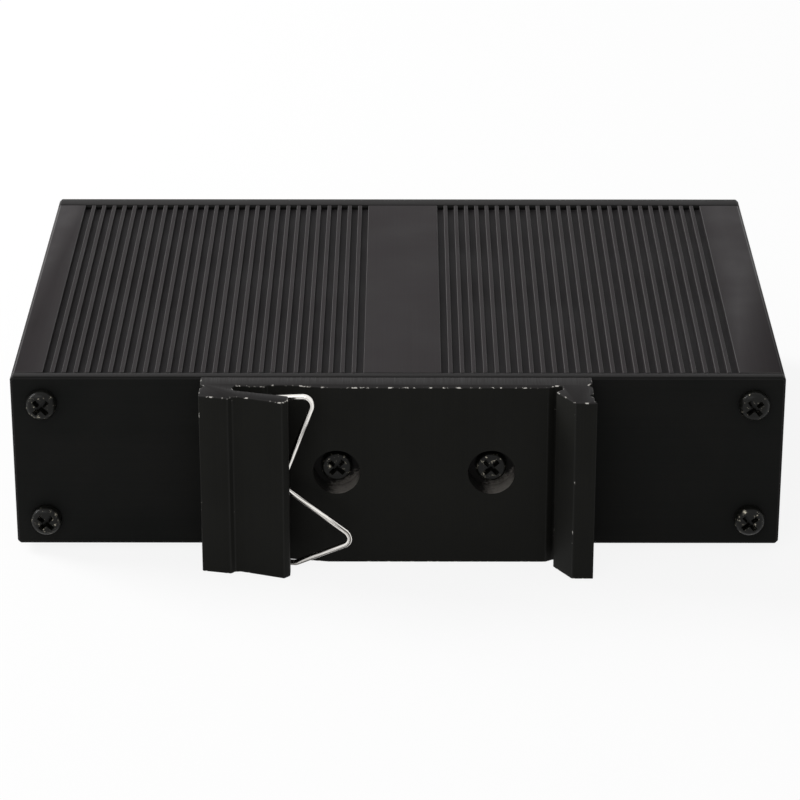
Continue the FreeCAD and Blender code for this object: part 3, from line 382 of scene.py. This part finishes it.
def clip_part(centre, normal, finish):
    """Bevels next to a sawn end are nicked, flat ends are sawn, counterbore walls are scuffed, with
    a painted highlight.
    """
    if finish == 1:
        return 4 if min(centre.z - clip_low[2], clip_high[2] - centre.z) < NICK_REACH else 1
    for axis in bore_axes:
        away = Vector((centre.x - axis.x, 0, centre.z - axis.z)).length
        wall = abs(normal.y) < 0.2 and away > COUNTERBORE * (1 - BORE_SLACK)
        ledge = abs(centre.y - screw_low[1] - CLIP_HEAD) < LEDGE_SLACK
        if away < COUNTERBORE * (1 + BORE_SLACK) and (wall or ledge):
            return 3
    return 2 if abs(normal.z) > 0.9 else 0


clip_skin = anodised("clip_anodising", "#181816", "#1d1d1b", 2, (0.45, 0.6), 0.05)
clip_edge = worn_edge("clip_rubbed_edges", "#1b1b19", "#a9a7a2", 1.2 * MM, 0.65)
clip_end = sawn("clip_sawn_end", "#1c1b1b", "#242222")
clip_bore_with_highlight = bore_scuff_and_painted_highlight("clip_counterbore_painted_highlight", "#1b1a19", "#7d7974")
clip_nicked = worn_edge("clip_nicked_edges", "#242322", "#b3b0aa", 0.7 * MM, 0.54)
clip = broken_edges("rail_clip", "rail_profile", 0.13 * MM, 2,
                    (clip_skin, clip_edge, clip_end, clip_bore_with_highlight, clip_nicked), clip_part)
fit(clip, "anodised_clip", "rail_clip")


# ---- Wire spring: bright drawn stainless wire, bent to an M with two prongs that hold the rail.
# Its ends and its middle bend sit in the slot of the clip's jaw, and it leans off the panel.
case_low, case_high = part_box("housing_extrusion")
panel_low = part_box("rear_panel")[0]
WIRE_RADIUS = 0.375 * MM
PRONG_BEND = 1.1 * MM
MIDDLE_BEND = 1.6 * MM
WIRE_LEAN = math.radians(-11.3)
SEAT_ACROSS = -21.25 * MM
SEAT_OFF_PANEL = 3.65 * MM
# The wire's route as (across, up) from its seat; its corners are bent to the radii above.
wire_seat = Vector((SEAT_ACROSS, panel_low[1] - SEAT_OFF_PANEL, case_low[2]))
height = case_high[2] - case_low[2]
wire_route = [(0.75 * MM, height - 1.45 * MM), (11.1 * MM, height - 0.2 * MM),
              (6.3 * MM, 10.8 * MM), (16.4 * MM, 3.86 * MM), (8.2 * MM, -0.15 * MM),
              (0.75 * MM, -0.45 * MM)]


def tree_with(name, inputs):
    """A geometry tree with named inputs and one geometry output; returns it with its ends."""
    tree = bpy.data.node_groups.new(name, "GeometryNodeTree")
    tree.interface.new_socket("Geometry", in_out="INPUT", socket_type="NodeSocketGeometry")
    for label, kind in inputs:
        tree.interface.new_socket(label, in_out="INPUT", socket_type="NodeSocket" + kind)
    tree.interface.new_socket("Geometry", in_out="OUTPUT", socket_type="NodeSocketGeometry")
    return tree, tree.nodes.new("NodeGroupInput"), tree.nodes.new("NodeGroupOutput")


def evaluated_mesh(carrier):
    """The mesh that a carrier's modifiers make; the carrier is then removed."""
    bpy.context.view_layer.update()
    shown = carrier.evaluated_get(bpy.context.evaluated_depsgraph_get())
    mesh = bpy.data.meshes.new_from_object(shown)
    bpy.data.objects.remove(carrier)
    return mesh


def made_by(tree, name, start, material, values):
    """Runs a geometry tree on a start mesh or curve and returns the plain mesh object."""
    carrier = new_object(name + "_start", start)
    modifier = carrier.modifiers.new("tree", "NODES")
    modifier.node_group = tree
    sockets = {item.name: item.identifier for item in tree.interface.items_tree
               if item.in_out == "INPUT"}
    for label, value in values.items():
        modifier[sockets[label]] = value
    mesh = evaluated_mesh(carrier)
    mesh.name = name
    mesh.materials.clear()
    mesh.materials.append(material)
    return new_object(name, mesh)


def end_tree(tree, group_out, geometry, material):
    """Every tree ends in real meshes with their material."""
    real = add(tree, "GeometryNodeRealizeInstances", None, {"Geometry": geometry})
    painted = add(tree, "GeometryNodeSetMaterial", None, {"Geometry": real.outputs[0]})
    painted.inputs["Material"].default_value = material
    tree.links.new(painted.outputs[0], group_out.inputs[0])


# Bands round the wire and their length: die marks that also carry painted reflection and shade.
MARK_AND_SHADE_BANDS = 6
MARK_AND_SHADE_LENGTH = 12 * MM


def bright_wire(name, dark, light):
    """Drawn stainless wire: bright, with long light and dark bands at fixed places round it, partly
    die marks and partly painted reflection and shade of a round wire.
    """
    material, tree, out = new_material(name)
    around = add(tree, "ShaderNodeAttribute", {"attribute_name": "around"}).outputs["Fac"]
    along = add(tree, "ShaderNodeAttribute", {"attribute_name": "along"}).outputs["Fac"]
    both = add(tree, "ShaderNodeCombineXYZ", None, {"X": around, "Y": along})
    stretched = add(tree, "ShaderNodeMapping", None, {"Vector": both.outputs[0]},
                    Scale=(MARK_AND_SHADE_BANDS, 1 / MARK_AND_SHADE_LENGTH, 1))
    # Painted reflection and shade: the bands run from dark grey to near white round the wire, like
    # the light and dark lines on a bright round wire.
    marks_and_painted_shade = noise(tree, stretched.outputs[0], 3.0, 0.6)
    fine = noise(tree, object_position(tree, [0.06 * MM] * 3), 2.0)
    surface(tree, out, {"Base Color": ramp(tree, marks_and_painted_shade, 0.44, 0.54, srgb(dark), srgb(light)),
                        "Roughness": span(tree, marks_and_painted_shade, 0.35, 0.65, 0.26, 0.12),
                        "Normal": bump(tree, fine, 0.003 * MM, 0.4)}, Metallic=1.0)
    return material


WIRE_SIDES = 20
BEND_POINTS = 14
wire_finish = bright_wire("spring_steel", "#5d5a56", "#f1eee9")
tree, given, out = tree_with("bent_wire", [("Wire Radius", "Float"), ("Prong Bend", "Float"),
                                           ("Middle Bend", "Float")])
which = add(tree, "GeometryNodeInputIndex")
middle = add(tree, "FunctionNodeCompare", {"data_type": "INT", "operation": "EQUAL"},
             {"A": which.outputs[0]})
typed(middle.inputs, "B", "INT").default_value = 2
bend = add(tree, "GeometryNodeSwitch", {"input_type": "FLOAT"},
           {"Switch": middle.outputs[0], "False": given.outputs["Prong Bend"],
            "True": given.outputs["Middle Bend"]})
rounded = add(tree, "GeometryNodeFilletCurve", {"mode": "POLY"},
              {"Curve": given.outputs["Geometry"], "Radius": bend.outputs[0]}, Count=BEND_POINTS)
section = add(tree, "GeometryNodeCurvePrimitiveCircle", None,
              {"Radius": given.outputs["Wire Radius"]}, Resolution=WIRE_SIDES)
place_on = add(tree, "GeometryNodeSplineParameter")
named = [add(tree, "GeometryNodeStoreNamedAttribute", {"data_type": "FLOAT", "domain": "POINT"},
             {"Geometry": line.outputs[0], "Value": place_on.outputs[measure]}, Name=label)
         for line, measure, label in ((rounded, "Length", "along"), (section, "Factor", "around"))]
tube = add(tree, "GeometryNodeCurveToMesh", None,
           {"Curve": named[0].outputs[0], "Profile Curve": named[1].outputs[0]})
tube.inputs["Fill Caps"].default_value = True
smooth = add(tree, "GeometryNodeSetShadeSmooth", None, {"Geometry": tube.outputs[0]})
end_tree(tree, out, smooth.outputs[0], wire_finish)

wire_curve = bpy.data.curves.new("wire_route", "CURVE")
wire_curve.dimensions = "3D"
spline = wire_curve.splines.new("POLY")
spline.points.add(len(wire_route) - 1)
to_case = Matrix.Translation(wire_seat) @ Matrix.Rotation(WIRE_LEAN, 4, "Z")
for point, (across, up) in zip(spline.points, wire_route):
    point.co = (to_case @ Vector((across, 0, up))).to_4d()
spring = made_by(tree, "wire_spring", wire_curve, wire_finish,
                 {"Wire Radius": WIRE_RADIUS, "Prong Bend": PRONG_BEND, "Middle Bend": MIDDLE_BEND})
fit(spring, "spring_wire", "rail_spring")


# ---- Screws: small blackened pan-head screws with a cross recess. Four hold each end panel in the
# tube's corner channels, and two shorter ones hold the clip in its counterbores.
CASE_HEAD = 1.6 * MM
CASE_CROWN = 0.95 * MM
CASE_LENGTH = 7.5 * MM
CLIP_CROWN = 0.45 * MM
CLIP_LENGTH = 3.2 * MM
SHANK = 0.96 * MM
RECESS_SPAN = 2.5 * MM
RECESS_ARM = 0.62 * MM
RECESS_DEPTH = 0.95 * MM
RECESS_CLEAR = 0.1 * MM
ARC_STEPS = 8
TURN_STEPS = 40
TURN_CHANCE = 0.12


def new_piece(name, work):
    """A mesh object made from a bmesh, with its faces pointing outwards."""
    bmesh.ops.recalc_face_normals(work, faces=work.faces)
    mesh = bpy.data.meshes.new(name)
    work.to_mesh(mesh)
    work.free()
    return new_object(name, mesh)


def turned(work, profile, steps):
    """A closed solid of revolution about Z from (radius, height) points, both ends on the axis."""
    rings = []
    for radius, level in profile:
        if radius == 0:
            rings.append([work.verts.new((0, 0, level))])
        else:
            rings.append([work.verts.new((radius * math.cos(2 * math.pi * i / steps),
                                          radius * math.sin(2 * math.pi * i / steps), level))
                          for i in range(steps)])
    for below, above in zip(rings, rings[1:]):
        for i in range(steps):
            j = (i + 1) % steps
            corners = [below[i % len(below)], below[j % len(below)],
                       above[j % len(above)], above[i % len(above)]]
            work.faces.new(list(dict.fromkeys(corners)))


def cross_punch(top):
    """The tapered punch that forms a cross recess down from the top of a head: twelve corners
    round the four arms, narrower at the bottom."""
    work = bmesh.new()
    arm = [Vector((RECESS_SPAN, -RECESS_ARM)), Vector((RECESS_SPAN, RECESS_ARM)),
           Vector((RECESS_ARM, RECESS_ARM))]
    corners = [Matrix.Rotation(math.radians(45 + 90 * turn), 2) @ corner / 2
               for turn in range(4) for corner in arm]
    low, high = [[work.verts.new((corner.x * spread, corner.y * spread, level))
                  for corner in corners]
                 for level, spread in ((top - RECESS_DEPTH, 0.6), (top + RECESS_CLEAR, 1.05))]
    work.faces.new(low)
    work.faces.new(high)
    for i in range(len(corners)):
        work.faces.new((low[i - 1], low[i], high[i], high[i - 1]))
    return new_piece("cross_punch", work)


def pan_screw(name, head_height, crown, length):
    """One screw, head up, with the underside of its head at zero."""
    arc = [(HEAD - crown + crown * math.cos(math.radians(90 * i / ARC_STEPS)),
            head_height - crown + crown * math.sin(math.radians(90 * i / ARC_STEPS)))
           for i in range(ARC_STEPS + 1)]
    work = bmesh.new()
    turned(work, [(0, -length), (SHANK, -length), (SHANK, 0), (HEAD, 0)] + arc
           + [(0, head_height)], TURN_STEPS)
    screw = new_piece(name, work)
    punch = cross_punch(head_height)
    cut = screw.modifiers.new("recess", "BOOLEAN")
    cut.object = punch
    cut.operation = "DIFFERENCE"
    mesh = evaluated_mesh(screw)
    bpy.data.objects.remove(punch)
    work = bmesh.new()
    work.from_mesh(mesh)
    glints_and_wear = work.faces.layers.float.new("glints_and_wear")
    for face in work.faces:
        face.smooth = True
        # Painted highlight: the crown's sloping ring may take bright patches that stand for glints
        # on the rim. On the top and the recess walls the patches are driver wear.
        centre = face.calc_center_median()
        sloping = centre.z > 0 and 0.3 < face.normal.z < 0.97
        face[glints_and_wear] = 0.35 if sloping or centre.z > head_height * 0.98 else 0.0
    for edge in work.edges:
        edge.smooth = edge.calc_face_angle(0) < SHARP_ANGLE
    work.to_mesh(mesh)
    work.free()
    return new_object(name, mesh)


def black_oxide(name, dark, light):
    """Blackened steel with a thin oily gloss, with bright patches: painted glints on the crown's
    sloping ring, and wear where the driver bit turned on the top and in the recess.
    """
    material, tree, out = new_material(name)
    glint_and_wear_share = add(tree, "ShaderNodeAttribute", {"attribute_name": "glints_and_wear"}).outputs["Fac"]
    patches = noise(tree, object_position(tree, [0.5 * MM] * 3), 4.0, 0.65)
    chance = add(tree, "ShaderNodeMath", {"operation": "MULTIPLY_ADD"}, {0: glint_and_wear_share, 2: patches})
    chance.inputs[1].default_value = 0.2
    glints_and_wear = span(tree, chance.outputs[0], 0.66, 0.74, 0.0, 1.0)
    surface(tree, out, {"Base Color": ramp(tree, glints_and_wear, 0.0, 1.0, srgb(dark), srgb(light)),
                        "Metallic": glints_and_wear,
                        "Roughness": span(tree, patches, 0.3, 0.7, 0.26, 0.42)},
            Specular_IOR_Level=0.16)
    return material


screw_finish = black_oxide("screw_black_oxide", "#11110f", "#a39e90")
tree, given, out = tree_with("screw_row", [
    ("Screw", "Object"), ("Across", "Float"), ("Up", "Float"), ("Rows", "Int"),
    ("Place", "Vector"), ("Facing", "Vector")])
spots = add(tree, "GeometryNodeMeshGrid", None,
            {"Size X": given.outputs["Across"], "Size Y": given.outputs["Up"],
             "Vertices Y": given.outputs["Rows"]})
spots.inputs["Vertices X"].default_value = 2
one = add(tree, "GeometryNodeObjectInfo", None, {"Object": given.outputs["Screw"]})
chance = add(tree, "FunctionNodeRandomValue", {"data_type": "FLOAT"}, Seed=7)
typed(chance.inputs, "Min", "VALUE").default_value = -TURN_CHANCE
typed(chance.inputs, "Max", "VALUE").default_value = TURN_CHANCE
about = add(tree, "ShaderNodeCombineXYZ", None, {"Z": typed(chance.outputs, "Value", "VALUE")})
placed = add(tree, "GeometryNodeInstanceOnPoints", None,
             {"Points": spots.outputs[0], "Instance": one.outputs["Geometry"],
              "Rotation": about.outputs[0]})
moved = add(tree, "GeometryNodeTransform", None,
            {"Geometry": placed.outputs[0], "Translation": given.outputs["Place"],
             "Rotation": given.outputs["Facing"]})
end_tree(tree, out, moved.outputs[0], screw_finish)

case_screw = pan_screw("case_screw", CASE_HEAD, CASE_CROWN, CASE_LENGTH)
short_screw = pan_screw("clip_screw", CLIP_HEAD, CLIP_CROWN, CLIP_LENGTH)
rows = [("rear_panel_screws", case_screw, CASE_HEAD, 2, -1),
        ("clip_screws", short_screw, CLIP_HEAD, 1, -1),
        ("front_panel_screws", case_screw, CASE_HEAD, 2, 1)]
for node, screw, head_height, count, way in rows:
    low, high = [Vector(corner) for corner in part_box(node)]
    middle_point = (low + high) / 2
    middle_point.y = high.y - head_height if way > 0 else low.y + head_height
    row = made_by(tree, node + "_finished", bpy.data.meshes.new(node + "_start"), screw_finish,
                  {"Screw": screw, "Across": high.x - low.x - 2 * HEAD,
                   "Up": high.z - low.z - 2 * HEAD, "Rows": count, "Place": middle_point,
                   "Facing": (math.radians(-90 * way), 0, 0)})
    fit(row, "black_screw", node)
bpy.data.objects.remove(case_screw)
bpy.data.objects.remove(short_screw)


# ---- Network jacks: one black moulding with five cavities, wrapped in a folded shell of tinned
# sheet. Gold-flashed spring contacts reach up into each cavity, between two clear lights.
def moulding(name, colour, rough, specular=0.4, relief=0.01):
    """An injection moulding: one colour through, with a fine spark-eroded grain."""
    material, tree, out = new_material(name)
    grain = noise(tree, object_position(tree, [0.12 * MM] * 3), 3.0)
    cloud = noise(tree, object_position(tree, [3 * MM] * 3), 2.0)
    base = srgb(colour)
    paler = tuple(min(1, part * 1.25 + 0.004) for part in base[:3]) + (1,)
    surface(tree, out, {"Base Color": ramp(tree, cloud, 0.3, 0.7, base, paler),
                        "Roughness": span(tree, cloud, 0.3, 0.7, rough - 0.06, rough + 0.06),
                        "Normal": bump(tree, grain, relief * MM, 0.4)},
            Specular_IOR_Level=specular)
    return material


def bright_metal(name, colour, rough, line_direction=0):
    """Rolled or plated metal with faint lines along one axis."""
    material, tree, out = new_material(name)
    line_scale = [0.1 * MM] * 3
    line_scale[line_direction] = 8 * MM
    lines = noise(tree, object_position(tree, line_scale), 3.0)
    tarnish = noise(tree, object_position(tree, [4 * MM] * 3), 3.0)
    base = srgb(colour)
    duller = tuple(part * 0.8 for part in base[:3]) + (1,)
    surface(tree, out, {"Base Color": ramp(tree, tarnish, 0.35, 0.7, base, duller),
                        "Roughness": span(tree, tarnish, 0.3, 0.7, rough - 0.06, rough + 0.1),
                        "Normal": bump(tree, lines, 0.004 * MM, 0.4)}, Metallic=1.0)
    return material


def clear_moulding(name, colour):
    """Clear acrylic with a slight tint."""
    material, tree, out = new_material(name)
    cloud = noise(tree, object_position(tree, [1.5 * MM] * 3), 2.0)
    surface(tree, out, {"Roughness": span(tree, cloud, 0.3, 0.7, 0.18, 0.32)},
            Base_Color=srgb(colour), Transmission_Weight=0.55, IOR=1.49)
    return material


jack_black = moulding("jack_thermoplastic", "#1b1b1c", 0.5)
shell_metal = bright_metal("jack_tinned_sheet", "#b3b1ab", 0.26)
contact_gold = bright_metal("contact_gold_flash", "#f0c66a", 0.4, 1)
light_clear = clear_moulding("light_acrylic", "#e4e8e2")
repaint("port_block", jack_black)
repaint("port_shield", shell_metal)
for number in range(1, 6):
    repaint("port_contacts_%d" % number, contact_gold)
    repaint("link_light_%d" % number, light_clear)
    repaint("activity_light_%d" % number, light_clear)


# ---- Power socket: a green moulded header with three tinned square pins, and above it the end of
# the clear rod that brings the power lamp's light to the panel.
header_green = moulding("header_polyamide", "#2f7d46", 0.42)
pin_tin = bright_metal("pin_tin", "#cfcdc8", 0.25, 1)
repaint("power_header", header_green)
for number in range(1, 4):
    repaint("power_pin_%d" % number, pin_tin)
repaint("power_light_guide", light_clear)
repaint("power_light", clear_moulding("lamp_lens", "#dfe6c8"))


# ---- Circuit board and what is soldered on it: glass-fibre laminate under green solder mask,
# black moulded packages, bare aluminium capacitor cans and heat sink, and a plated crystal can.
board_green = moulding("board_solder_mask", "#125c33", 0.35, 0.5, 0.02)
chip_black = moulding("chip_epoxy", "#1d1d1e", 0.55)
bare_can = bright_metal("bare_aluminium", "#cfd0d1", 0.3, 2)
ferrite = moulding("choke_ferrite", "#4a4a4c", 0.6)
repaint("circuit_board", board_green)
for node in ["switch_chip", "memory_chip", "regulator_chip", "input_fuse", "surge_diode",
             "reverse_diode"] + ["transformer_%d" % number for number in range(1, 6)]:
    repaint(node, chip_black)
for node in ("chip_heat_sink", "bulk_capacitor_1", "bulk_capacitor_2", "crystal"):
    repaint(node, bare_can)
repaint("power_inductor", ferrite)
